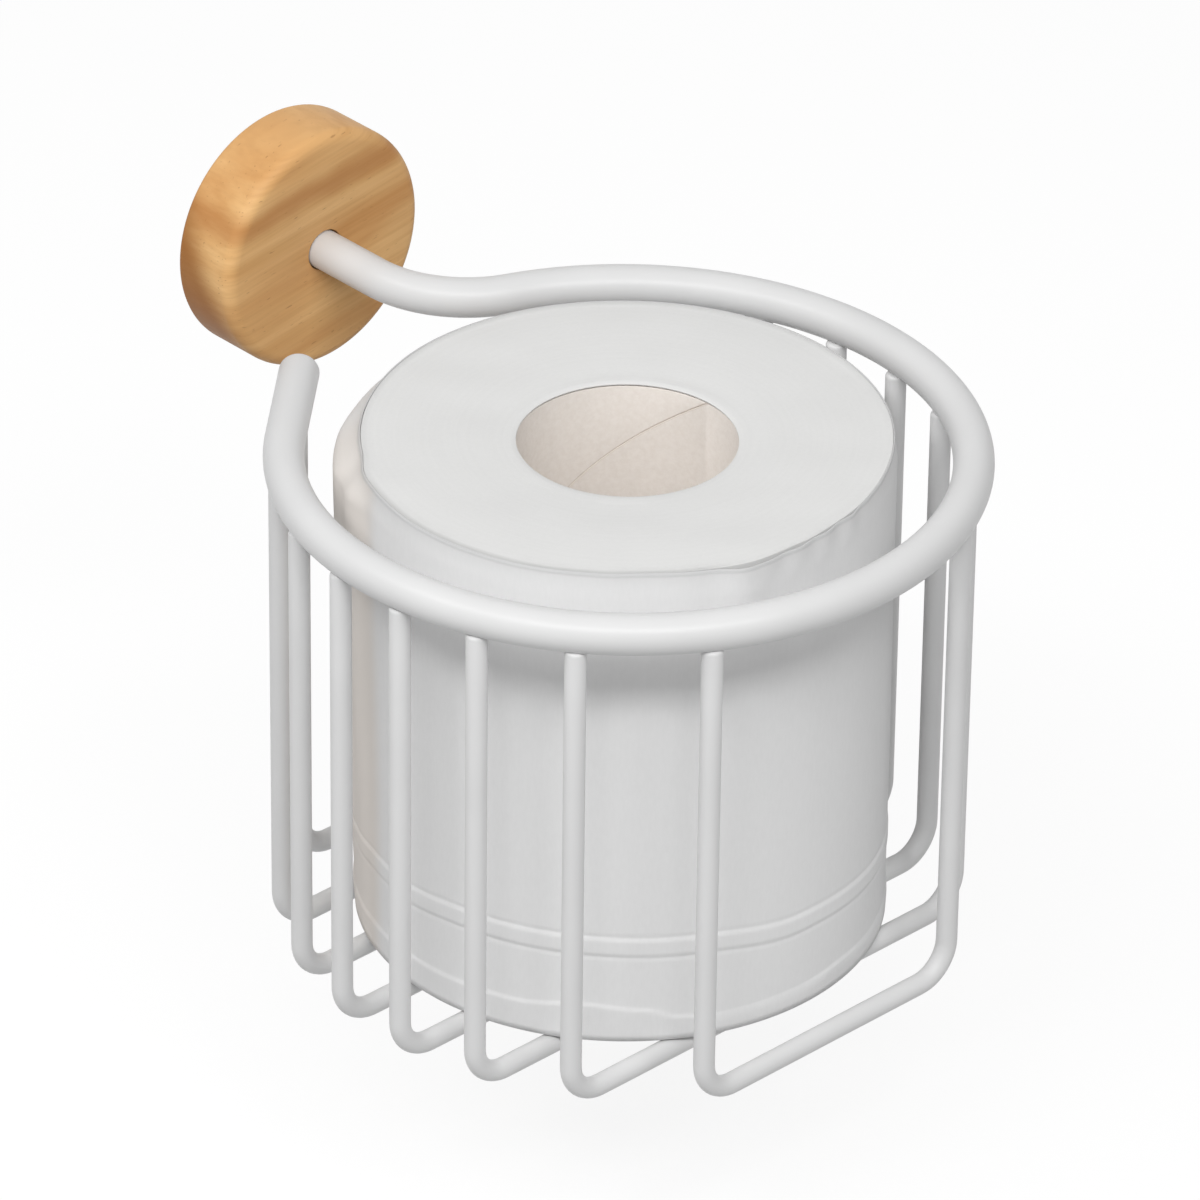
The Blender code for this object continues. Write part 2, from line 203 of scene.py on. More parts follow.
def oiledBeech():
    # oiled beech, turned and sanded: a soft sheen over long quiet streaks, with a few short dark
    # flecks along the grain; the rays are drawn too wide, or the render wouldn't show them
    finish, tree, shader = newFinish("oiledBeech", disc["paleWood"], disc["roughness"])
    shader.inputs["Specular IOR Level"].default_value = disc["specular"]
    place = addNode(tree, "ShaderNodeTexCoord")
    grain = addNode(tree, "ShaderNodeMapping", {
        "Vector": place.outputs["Object"], "Rotation": (0.0, disc["grainTilt"], 0.0)})
    colour, height = linear(disc["paleWood"]), 0.0
    for along, across, up, detail, low, high, strength, darker, dent in disc["figure"]:
        stretched = addNode(tree, "ShaderNodeMapping", {
            "Vector": grain.outputs[0],
            "Scale": (1 / (along * mm), 1 / (across * mm), 1 / (up * mm))})
        pattern = addNode(tree, "ShaderNodeTexNoise", {
            "Vector": stretched.outputs[0], "Scale": 1.0, "Detail": detail,
            "Roughness": disc["grainRoughness"], "Distortion": disc["grainBend"]})
        share = addNode(tree, "ShaderNodeMapRange", {
            "Value": pattern.outputs[0], "From Min": low, "From Max": high,
            "To Max": strength})
        colour = addNode(tree, "ShaderNodeMix", {
            0: share.outputs[0], 6: colour, 7: linear(darker)}, data_type="RGBA").outputs[2]
        height = addNode(tree, "ShaderNodeMath", {
            0: share.outputs[0], 1: dent, 2: height}, operation="MULTIPLY_ADD").outputs[0]

    parts = addNode(tree, "ShaderNodeSeparateXYZ", {0: grain.outputs[0]})
    wander = addNode(tree, "ShaderNodeTexNoise", {
        "Vector": grain.outputs[0], "Scale": 1 / disc["bandWanderLength"], "Detail": 2.0})
    shifted = addNode(tree, "ShaderNodeMath", {
        0: wander.outputs[0], 1: disc["bandWander"], 2: parts.outputs[2]},
        operation="MULTIPLY_ADD")
    fromBand = addNode(tree, "ShaderNodeMath", {
        0: shifted.outputs[0], 1: disc["bandHeight"] + disc["bandWander"] / 2},
        operation="SUBTRACT")
    distance = addNode(tree, "ShaderNodeMath", {0: fromBand.outputs[0]}, operation="ABSOLUTE")
    inBand = addNode(tree, "ShaderNodeMapRange", {
        "Value": distance.outputs[0], "From Min": 0.0, "From Max": disc["bandWidth"],
        "To Min": disc["bandStrength"], "To Max": 0.0}, interpolation_type="SMOOTHSTEP")
    colour = addNode(tree, "ShaderNodeMix", {
        0: inBand.outputs[0], 6: colour, 7: linear(disc["bandColour"])},
        data_type="RGBA").outputs[2]

    # painted shade on the rim's lower left, by position
    towardsShadedRim = addNode(tree, "ShaderNodeVectorMath", {
        0: place.outputs["Object"], 1: disc["shadedRimSide"]}, operation="DOT_PRODUCT")
    inShadedRim = addNode(tree, "ShaderNodeMapRange", {
        "Value": towardsShadedRim.outputs["Value"], "From Min": disc["shadedRimFrom"],
        "From Max": disc["shadedRimFull"], "To Max": disc["shadedRimStrength"]},
        interpolation_type="SMOOTHSTEP")
    colour = addNode(tree, "ShaderNodeMix", {
        0: inShadedRim.outputs[0], 6: colour, 7: linear(disc["shadedRimColour"])},
        data_type="RGBA").outputs[2]
    bump = addNode(tree, "ShaderNodeBump", {
        "Height": height, "Strength": disc["grainStrength"], "Distance": disc["grainDepth"]},
        invert=True)
    tree.links.new(colour, shader.inputs["Base Color"])
    tree.links.new(bump.outputs[0], shader.inputs["Normal"])
    return finish


def makeDisc():
    bm = bmesh.new()
    # half of the section, as (distance from the middle, distance from the wall)
    seatFloor = disc["thickness"] - disc["seatDepth"]
    section = [
        (disc["recessRadius"], 0.0), (disc["radius"], 0.0), (disc["radius"], disc["thickness"]),
        (disc["seatRadius"], disc["thickness"]), (disc["seatRadius"], seatFloor),
        (disc["screwHole"], seatFloor), (disc["screwHole"], disc["recessDepth"]),
        (disc["recessRadius"], disc["recessDepth"])]
    turned(bm, [(out, -deep, 0.0) for out, deep in section], (0, 0, 0), (0, 1, 0),
           disc["steps"])

    def ringAt(radius, depth):
        return lambda co: abs(hypot(co.x, co.z) - radius) < nearby and abs(co.y + depth) < nearby

    softenRing(bm, ringAt(disc["radius"], disc["thickness"]), *disc["frontEdge"])
    softenRing(bm, ringAt(disc["radius"], 0.0), *disc["backEdge"])
    softenRing(bm, ringAt(disc["recessRadius"], 0.0), *disc["recessEdge"])
    softenRing(bm, ringAt(disc["seatRadius"], disc["thickness"]), *disc["seatEdge"])
    piece = newPiece(
        "woodDisc", bm, oiledBeech(), "holder", ["wood_disc"], disc["sharpAngle"])

    # the hole for the threaded insert, drilled up into the rim from below
    drill = bmesh.new()
    bottom = -disc["radius"] - disc["drillStart"]
    top = -disc["radius"] + disc["insertReach"]
    middle = Matrix.Translation((0.0, -disc["insertDepth"], (top + bottom) / 2))
    bmesh.ops.create_cone(
        drill, cap_ends=True, segments=disc["insertSides"], radius1=disc["insertHole"],
        radius2=disc["insertHole"], depth=top - bottom, matrix=middle)
    carve(piece, "insertDrill", drill, disc["sharpAngle"])


makeDisc()
print("disc made")


powder = dict(
    specular=0.3,
    # orange peel: waves 1.6 mm long; real ones are a few thousandths of a millimetre high
    peelLength=1.6 * mm, peelDepth=0.02 * mm, peelStrength=0.3,
    grainShare=0.25,                     # height of the fine grain beside the peel's
    # the coat is a touch uneven in gloss and in tone
    glossBelow=0.03, glossAbove=0.04,
    cloudSize=18 * mm, cloudStrength=0.5)


def powderCoat(name, colour, shaded, roughness, grain):
    # polyester powder coat, baked over steel: an even satin white with a faint orange peel
    finish, tree, shader = newFinish(name, colour, roughness)
    shader.inputs["Specular IOR Level"].default_value = powder["specular"]
    place = addNode(tree, "ShaderNodeTexCoord")
    peel = addNode(tree, "ShaderNodeTexNoise", {
        "Vector": place.outputs["Object"], "Scale": 1 / powder["peelLength"], "Detail": 1.0,
        "Roughness": 0.4})
    fine = addNode(tree, "ShaderNodeTexNoise", {
        "Vector": place.outputs["Object"], "Scale": 1 / grain, "Detail": 2.0})
    height = addNode(tree, "ShaderNodeMath", {
        0: fine.outputs[0], 1: powder["grainShare"], 2: peel.outputs[0]},
        operation="MULTIPLY_ADD")
    bump = addNode(tree, "ShaderNodeBump", {
        "Height": height.outputs[0], "Strength": powder["peelStrength"],
        "Distance": powder["peelDepth"]})
    gloss = addNode(tree, "ShaderNodeMapRange", {
        "Value": peel.outputs[0], "From Min": 0.3, "From Max": 0.7,
        "To Min": roughness - powder["glossBelow"], "To Max": roughness + powder["glossAbove"]})
    cloud = addNode(tree, "ShaderNodeTexNoise", {
        "Vector": place.outputs["Object"], "Scale": 1 / powder["cloudSize"], "Detail": 1.0})
    shade = addNode(tree, "ShaderNodeMapRange", {
        "Value": cloud.outputs[0], "From Min": 0.35, "From Max": 0.65,
        "To Max": powder["cloudStrength"]})
    tone = addNode(tree, "ShaderNodeMix", {
        0: shade.outputs[0], 6: linear(colour), 7: linear(shaded)}, data_type="RGBA")
    tree.links.new(tone.outputs[2], shader.inputs["Base Color"])
    tree.links.new(gloss.outputs[0], shader.inputs["Roughness"])
    tree.links.new(bump.outputs[0], shader.inputs["Normal"])
    return finish


rod = dict(
    radius=4.0 * mm, sides=48,
    start=11.6 * mm,                     # stem's end inside the disc, from the wall
    ringRadius=66.0 * mm, ringCentre=Vector((-10.0 * mm, -114.0 * mm, 0.0)),
    stemBend=24.0 * mm,
    freeEndAngle=radians(132.5), freeEndLength=26.5 * mm,
    freeEndRounding=(1.5 * mm, 7),       # and its segments
    tapRadius=2.3 * mm, tapDepth=12.5 * mm,
    stemSteps=4, bendSteps=30, ringSteps=220, freeEndSteps=3,
    coat=("#D6D6D6", "#D1D1D1", 0.37, 0.25 * mm))    # colour, shaded colour, roughness, grain


def makeRing():
    # stem, bend, ring and free end in one run
    centre, radius = rod["ringCentre"], rod["ringRadius"]
    bendX = rod["stemBend"]
    bendY = centre.y + sqrt((radius + rod["stemBend"]) ** 2 - (bendX - centre.x) ** 2)
    joinAngle = atan2(bendY - centre.y, bendX - centre.x)
    ringTurn = rod["freeEndAngle"] - joinAngle - tau
    up = (0.0, 0.0, 1.0)
    heading = Vector((sin(rod["freeEndAngle"]), -cos(rod["freeEndAngle"]), 0.0))
    bm = bmesh.new()
    tap = startRod(
        bm, (0.0, -rod["start"], 0.0), (0.0, -1.0, 0.0), rod["radius"], rod["sides"])
    end = runStraight(bm, tap, (0.0, bendY + rod["start"], 0.0), rod["stemSteps"])
    end = runBend(bm, end, (bendX, bendY, 0.0), up, joinAngle, rod["bendSteps"])
    end = runBend(bm, end, centre, up, ringTurn, rod["ringSteps"])
    end = runStraight(bm, end, heading * rod["freeEndLength"], rod["freeEndSteps"])
    closeEnd(bm, end, *rod["freeEndRounding"])

    # the tapped hole in the stem's hidden end
    face = bmesh.ops.contextual_create(bm, geom=edgesAmong(tap))["faces"][0]
    bm.normal_update()
    bmesh.ops.inset_individual(bm, faces=[face], thickness=rod["radius"] - rod["tapRadius"])
    floor = bmesh.ops.extrude_face_region(bm, geom=[face, *face.edges, *face.verts])["geom"]
    bmesh.ops.translate(bm, verts=vertsIn(floor), vec=(0.0, -rod["tapDepth"], 0.0))
    newPiece(
        "ringRod", bm, powderCoat("rodPowderCoat", *rod["coat"]), "holder", ["ring_rod"])


wires = dict(
    count=8, radius=2.1 * mm, sides=28,
    bend=7.5 * mm, bendSteps=14, straightSteps=3,
    top=-3.2 * mm,                       # inside the rod's underside
    topRounding=(0.75 * mm, 5),          # and its segments
    coat=("#DBDBDB", "#D6D6D6", 0.42, 0.22 * mm))


def makeWires():
    finish = powderCoat("wirePowderCoat", *wires["coat"])
    across = (0.0, 1.0, 0.0)
    bend, top, steps = wires["bend"], wires["top"], wires["straightSteps"]
    for number in range(1, wires["count"] + 1):
        low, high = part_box(f"basket_wire_{number}")
        y, floor = (low.y + high.y) / 2, low.z + wires["radius"]
        left, right = low.x + wires["radius"], high.x - wires["radius"]
        bm = bmesh.new()
        start = startRod(
            bm, (left, y, top), (0.0, 0.0, -1.0), wires["radius"], wires["sides"])
        end = runStraight(bm, start, (0.0, 0.0, floor + bend - top), steps)
        end = runBend(
            bm, end, (left + bend, y, floor + bend), across, -pi / 2, wires["bendSteps"])
        end = runStraight(bm, end, (right - left - 2 * bend, 0.0, 0.0), steps)
        end = runBend(
            bm, end, (right - bend, y, floor + bend), across, -pi / 2, wires["bendSteps"])
        end = runStraight(bm, end, (0.0, 0.0, top - floor - bend), steps)
        closeEnd(bm, start, *wires["topRounding"])
        closeEnd(bm, end, *wires["topRounding"])
        newPiece(
            f"basketWire{number}", bm, finish, "holder", [f"basket_wire_{number}"])


makeRing()
makeWires()
print("rod and wires made")


roll = dict(axis=Vector((-8.7 * mm, -112.2 * mm, 0.0)), bottom=-101.8 * mm, height=105.2 * mm)
rollTop = roll["bottom"] + roll["height"]


def roundTable(table, angle):
    # a smooth value between the table's angles, all the way round
    angle %= 360
    before = max((row for row in table if row[0] <= angle), default=table[-1])
    position = table.index(before)
    after = table[(position + 1) % len(table)]
    span = (after[0] - before[0]) % 360
    share = smoothStep(0.0, 1.0, ((angle - before[0]) % 360) / span)
    return before[1] + (after[1] - before[1]) * share


def aboutAxis(co):
    # angle and distance of a place from the roll's axis
    fromAxis = co - roll["axis"]
    return atan2(fromAxis.y, fromAxis.x), hypot(fromAxis.x, fromAxis.y)


def fromRollAxis(tree):
    # the place as seen from the roll's axis, as a vector and as its parts X, Y and Z
    place = addNode(tree, "ShaderNodeTexCoord")
    centred = addNode(tree, "ShaderNodeMapping", {
        "Vector": place.outputs["Object"],
        "Location": (-roll["axis"].x, -roll["axis"].y, 0.0)})
    parts = addNode(tree, "ShaderNodeSeparateXYZ", {0: centred.outputs[0]})
    return centred.outputs[0], parts.outputs


def turnsRound(tree, parts):
    # the angle about the axis, in turns
    angle = addNode(tree, "ShaderNodeMath", {
        0: parts["Y"], 1: parts["X"]}, operation="ARCTAN2")
    return addNode(tree, "ShaderNodeMath", {
        0: angle.outputs[0], 1: tau}, operation="DIVIDE").outputs[0]


core = dict(
    bore=21.5 * mm, outer=22.5 * mm, steps=160,
    sunk=2.2 * mm,                       # the core ends this far below the roll's top
    rounding=(0.22 * mm, 3),             # and its segments
    seamRise=98.6 * mm,                  # height that the spiral seam gains in one turn
    seamHeight=1.6 * mm,                 # where the seam crosses angle 0
    seamFrom=radians(-40), seamTo=radians(420), seamSteps=200,
    seamWidth=0.4 * mm, seamDepth=0.18 * mm, seamSharpAngle=25,
    seamColour="#C9BDB2", seamStrength=0.45, seamShade=(0.15 * mm, 0.5 * mm),
    colour="#E9E2DC", roughness=0.88,
    fibreColours=("#EBE5DF", "#E5DED7"), fibreSize=1.1 * mm,
    fibreDepth=0.04 * mm, fibreStrength=0.3)


def coreBoard():
    # grey-beige core board, wound from strips: matt and faintly fibrous, darker in the seam
    # between the strips
    finish, tree, shader = newFinish("coreBoard", core["colour"], core["roughness"])
    centred, parts = fromRollAxis(tree)
    # height above the seam at this angle, folded into one strip
    rise = addNode(tree, "ShaderNodeMath", {
        0: turnsRound(tree, parts), 1: core["seamRise"], 2: parts["Z"]},
        operation="MULTIPLY_ADD")
    fromSeam = addNode(tree, "ShaderNodeMath", {
        0: rise.outputs[0], 1: core["seamHeight"]}, operation="SUBTRACT")
    folded = addNode(tree, "ShaderNodeMath", {
        0: fromSeam.outputs[0], 1: core["seamRise"] / 2}, operation="PINGPONG")
    seam = addNode(tree, "ShaderNodeMapRange", {
        "Value": folded.outputs[0], "From Min": core["seamShade"][0],
        "From Max": core["seamShade"][1], "To Min": core["seamStrength"], "To Max": 0.0})
    fibres = addNode(tree, "ShaderNodeTexNoise", {
        "Vector": centred, "Scale": 1 / core["fibreSize"], "Detail": 3.0, "Roughness": 0.65})
    fibreShare = addNode(tree, "ShaderNodeMapRange", {
        "Value": fibres.outputs[0], "From Min": 0.35, "From Max": 0.7})
    pale, dark = core["fibreColours"]
    board = addNode(tree, "ShaderNodeMix", {
        0: fibreShare.outputs[0], 6: linear(pale), 7: linear(dark)}, data_type="RGBA")
    lined = addNode(tree, "ShaderNodeMix", {
        0: seam.outputs[0], 6: board.outputs[2], 7: linear(core["seamColour"])},
        data_type="RGBA")
    bump = addNode(tree, "ShaderNodeBump", {
        "Height": fibreShare.outputs[0], "Strength": core["fibreStrength"],
        "Distance": core["fibreDepth"]})
    tree.links.new(lined.outputs[2], shader.inputs["Base Color"])
    tree.links.new(bump.outputs[0], shader.inputs["Normal"])
    return finish


def makeCore():
    bm = bmesh.new()
    inner, outer, centre = core["bore"], core["outer"], roll["axis"]
    bottom, top = roll["bottom"], rollTop - core["sunk"]
    section = [(inner, bottom), (outer, bottom), (outer, top), (inner, top)]
    turned(bm, [centre + Vector((out, 0.0, z)) for out, z in section], centre, (0, 0, 1),
           core["steps"])
    for level in (top, bottom):
        softenRing(bm, lambda co: abs(co.z - level) < nearby, *core["rounding"])
    piece = newPiece("rollCore", bm, coreBoard(), "core", ["roll_core"])

    # the spiral seam between the strips is a fine groove in the bore
    groove = bmesh.new()
    seamTurn = core["seamTo"] - core["seamFrom"]
    height = core["seamHeight"] - core["seamRise"] * core["seamFrom"] / tau
    heading = Vector((cos(core["seamFrom"]), sin(core["seamFrom"]), 0.0))
    section = [
        (inner - core["seamDepth"], -core["seamWidth"]),
        (inner - core["seamDepth"], core["seamWidth"]),
        (inner + core["seamDepth"], 0.0)]
    corners = [groove.verts.new(centre + heading * out + Vector((0.0, 0.0, height + up)))
               for out, up in section]
    first = groove.faces.new(corners)
    bmesh.ops.spin(
        groove, geom=[first, *first.edges, *corners], cent=centre, axis=(0, 0, 1),
        angle=seamTurn, steps=core["seamSteps"],
        dvec=(0.0, 0.0, -core["seamRise"] * seamTurn / tau / core["seamSteps"]))
    carve(piece, "seamGroove", groove, core["seamSharpAngle"])


paper = dict(
    inner=22.8 * mm, outer=51.3 * mm, steps=288, rings=22, rows=30,
    dish=1.5 * mm,                       # the top sinks this much towards the core
    lip=21.35 * mm,                      # the soft paper reaches over the core's end to here
    lipRounding=0.2 * mm,
    # the lip's section, as (distance outside it, depth below the dished top)
    lipSection=((0.0, 0.12 * mm), (0.0, 0.3 * mm), (0.15 * mm, 0.42 * mm)), lipDepth=0.5 * mm,
    rimRounding=(0.2 * mm, 3), bottomRounding=(0.6 * mm, 3),
    # the cut end isn't quite flat between these shares of the way out
    wavesFrom=0.04, wavesTo=0.97, waveHeight=0.3 * mm, waveLength=13 * mm,
    # outer edge at the top, as (angle in degrees, radius in mm), and where it evens out
    topEdge=(
        (0, 51.0), (40, 51.0), (93, 51.2), (120, 51.0), (145, 51.1), (157, 52.6), (180, 53.0),
        (200, 52.9), (221, 52.3), (229, 51.9), (242, 52.3), (252, 52.6), (266, 51.6),
        (278, 51.0), (300, 50.8), (330, 51.0)),
    evenBelow=-75 * mm, unevenAbove=5 * mm,
    colour="#DADAD9", mottle=("#D8D8D7", "#DCDCDB"), roughness=0.95, specular=0.2,
    layer=0.9 * mm,                      # real layers are 0.2 mm apart and wouldn't show
    lint=0.8 * mm, dents=9 * mm,
    layerShare=0.5, dentShare=2.5,       # height of the layers and the dents beside the lint's
    reliefDepth=0.12 * mm, reliefStrength=0.22,
    # painted shade: the cut end is darker at its rim, more on some sides than on others, as
    # (angle in degrees, share)
    rimShadeWidth=1.3 * mm, rimShadeColour="#C0C0BF",
    rimShade=(
        (0, 0.3), (60, 0.5), (110, 0.5), (130, 0.3), (150, 0.35), (165, 0.9), (185, 1.0),
        (240, 1.0), (250, 0.25), (270, 0.3), (285, 0.0), (330, 0.0)))


def paperRadius(angle, z):
    # the paper is out of round at the top and evens out downwards
    even = paper["outer"]
    high = smoothStep(paper["evenBelow"], paper["unevenAbove"], z)
    return even + (roundTable(paper["topEdge"], degrees(angle)) * mm - even) * high


def woundTissue():
    # soft white tissue, wound in many thin layers: matt, with barely visible rings on its ends
    finish, tree, shader = newFinish("woundTissue", paper["colour"], paper["roughness"])
    shader.inputs["Specular IOR Level"].default_value = paper["specular"]
    centred, parts = fromRollAxis(tree)
    flat = addNode(tree, "ShaderNodeCombineXYZ", {0: parts["X"], 1: parts["Y"]})
    radius = addNode(tree, "ShaderNodeVectorMath", {0: flat.outputs[0]}, operation="LENGTH")
    # the layers are drawn uneven, and each turn moves out by one layer
    spiral = addNode(tree, "ShaderNodeMath", {
        0: turnsRound(tree, parts), 1: -paper["layer"], 2: radius.outputs["Value"]},
        operation="MULTIPLY_ADD")
    layers = addNode(tree, "ShaderNodeTexNoise", {
        "W": spiral.outputs[0], "Scale": 1 / paper["layer"], "Detail": 2.0, "Roughness": 0.6},
        noise_dimensions="1D")
    lint = addNode(tree, "ShaderNodeTexNoise", {
        "Vector": centred, "Scale": 1 / paper["lint"], "Detail": 4.0, "Roughness": 0.7})
    dents = addNode(tree, "ShaderNodeTexNoise", {
        "Vector": centred, "Scale": 1 / paper["dents"], "Detail": 2.0})
    mixed = addNode(tree, "ShaderNodeMath", {
        0: layers.outputs[0], 1: paper["layerShare"], 2: lint.outputs[0]},
        operation="MULTIPLY_ADD")
    relief = addNode(tree, "ShaderNodeMath", {
        0: dents.outputs[0], 1: paper["dentShare"], 2: mixed.outputs[0]},
        operation="MULTIPLY_ADD")
    bump = addNode(tree, "ShaderNodeBump", {
        "Height": relief.outputs[0], "Strength": paper["reliefStrength"],
        "Distance": paper["reliefDepth"]})
    shade = addNode(tree, "ShaderNodeMapRange", {
        "Value": mixed.outputs[0], "From Min": 0.5, "From Max": 1.1})
    dark, pale = paper["mottle"]
    tone = addNode(tree, "ShaderNodeMix", {
        0: shade.outputs[0], 6: linear(dark), 7: linear(pale)}, data_type="RGBA")
    # painted shade along the outer rim of the cut end
    rim = addNode(tree, "ShaderNodeAttribute", attribute_name="rim")
    rimmed = addNode(tree, "ShaderNodeMix", {
        0: rim.outputs["Fac"], 6: tone.outputs[2], 7: linear(paper["rimShadeColour"])},
        data_type="RGBA")
    tree.links.new(rimmed.outputs[2], shader.inputs["Base Color"])
    tree.links.new(bump.outputs[0], shader.inputs["Normal"])
    return finish


def makePaper():
    bm = bmesh.new()
    bottom, top, centre = roll["bottom"], rollTop, roll["axis"]
    inner, outer, lip, dish = paper["inner"], paper["outer"], paper["lip"], paper["dish"]
    rings, rows = paper["rings"], paper["rows"]
    topInner = lip + paper["lipRounding"]
    # half of the section: out along the bottom, up, in along the dished top and round the lip
    section = [(inner + (outer - inner) * step / rings, bottom) for step in range(rings + 1)]
    section += [(outer, bottom + (top - bottom) * step / rows) for step in range(1, rows)]
    for step in range(rings + 1):
        share = 1 - step / rings
        section.append((topInner + (outer - topInner) * share, top - dish * (1 - share) ** 2))
    section += [(lip + out, top - dish - down) for out, down in paper["lipSection"]]
    section.append((inner, top - dish - paper["lipDepth"]))
    turned(bm, [centre + Vector((out, 0.0, z)) for out, z in section], centre, (0, 0, 1),
           paper["steps"])

    def outerRing(level):
        return lambda co: abs(co.z - level) < nearby and aboutAxis(co)[1] > outer - nearby

    softenRing(bm, outerRing(top), *paper["rimRounding"])
    softenRing(bm, outerRing(bottom), *paper["bottomRounding"])
    for vert in bm.verts:
        angle, out = aboutAxis(vert.co)
        share = (out - inner) / (outer - inner)
        newOut = inner + (paperRadius(angle, vert.co.z) - inner) * share
        vert.co.x = centre.x + cos(angle) * newOut
        vert.co.y = centre.y + sin(angle) * newOut
        if vert.co.z > top - dish - nearby and paper["wavesFrom"] < share < paper["wavesTo"]:
            wave = 0.5 + noise.noise(vert.co / paper["waveLength"])
            vert.co.z -= paper["waveHeight"] * wave
    piece = newPiece("paperRoll", bm, woundTissue(), "paper", ["roll_paper"])

    # share of painted shade at the rim, for each vertex
    rim = piece.data.attributes.new("rim", "FLOAT", "POINT")
    for vert, value in zip(piece.data.vertices, rim.data):
        angle, out = aboutAxis(vert.co)
        inwards = paperRadius(angle, vert.co.z) - out
        nearness = smoothStep(paper["rimShadeWidth"], paper["rimRounding"][0], inwards)
        value.value = nearness * roundTable(paper["rimShade"], degrees(angle))


sheet = dict(
    thickness=0.22 * mm,
    gap=0.5 * mm, cutGap=0.04 * mm,      # to the paper, and what is left of it at the top edge
    seamAngle=radians(20), turn=radians(359.4), columns=300, sharpAngle=60,
    # rows of faces: spacing, spacing near the top, and finer in these zones of height in mm
    row=1.4 * mm, topRow=0.7 * mm, topZone=7 * mm, lastRow=0.4 * mm,
    fineRow=0.36 * mm, fineZones=((-99, -92), (-88, -76)),
    # how far the sheet stands off the paper near its top edge, as (angle in degrees, mm)
    standOff=(
        (0, 3.0), (12, 1.4), (22, 0.4), (40, 0.1), (86, 0.1), (93, 0.6), (101, 3.6),
        (116, 3.9), (130, 4.5), (143, 4.7), (151, 3.2), (161, 0.3), (170, 0.0), (205, 0.0),
        (232, 0.0), (244, 0.3), (251, 1.7), (258, 0.8), (275, 0.2), (290, 0.05), (312, 0.05),
        (322, 0.3), (332, 1.0), (343, 2.2), (351, 3.1)),
    tuck=6.0 * mm,                       # the loose part's top edge turns in over this height
    looseReach=((0, 60), (60, 60), (100, 125), (170, 125), (300, 60), (330, 45)),    # in mm
    kinks=(225, 300), kinkReach=22 * mm,
    # small waves of the edge beside the kink, in degrees: from, full from, full to and to
    waves=(252, 258, 282, 292), waveLength=8.5,
    waveHeight=0.45 * mm, waveReach=7 * mm,
    # middle of the embossed band, a raised strip between two creases, as (angle, mm)
    band=(
        (0, -84.6), (173, -81.5), (191, -80.3), (216, -80.2), (243, -80.7), (268, -82.8),
        (305, -84.4)),
    bandWidth=4.6 * mm, bandRise=0.2 * mm, bandSlope=1.1 * mm,
    creaseDepth=0.13 * mm, creaseWidth=0.8 * mm,
    # soft fold near the lower edge, below which the sheet stands out a little
    fold=(
        (0, -97.0), (150, -95.5), (203, -94.6), (219, -93.1), (232, -94.2), (239, -96.2),
        (248, -97.3), (268, -97.2), (281, -96.6), (295, -97.2)),
    foldRise=0.32 * mm, foldWidth=0.9 * mm,
    foldSink=0.6, foldSinkReach=6 * mm,  # share of the rise that is lost below the fold
    colour="#E8E8E8", mottle=("#E7E7E7", "#E9E9E9"), roughness=0.95, specular=0.2,
    crepeWidth=0.7 * mm, crepeLength=2.4 * mm, rippleWidth=13 * mm, rippleLength=30 * mm,
    rippleShare=8.0,                     # height of the ripples beside the crepe's
    reliefDepth=0.1 * mm, reliefStrength=0.09,
    # painted light: a warm tint where light would come through the loose part, as (angle in
    # degrees, share)
    glow=(
        (0, 0.2), (30, 0.0), (90, 0.1), (122, 0.4), (138, 1.0), (158, 1.0), (165, 0.0),
        (330, 0.0), (345, 0.2)),
    paintedGlowColour="#E3DDD7",
    # painted shade towards the top edge, a broad soft one and a narrow darker one at the edge, as
    # (depth where it starts and is full in mm, share)
    paintedTopShade=((9.0, 0.0, 0.25), (1.2, 0.35, 0.7)), paintedTopShadeColour="#BCBCBC")


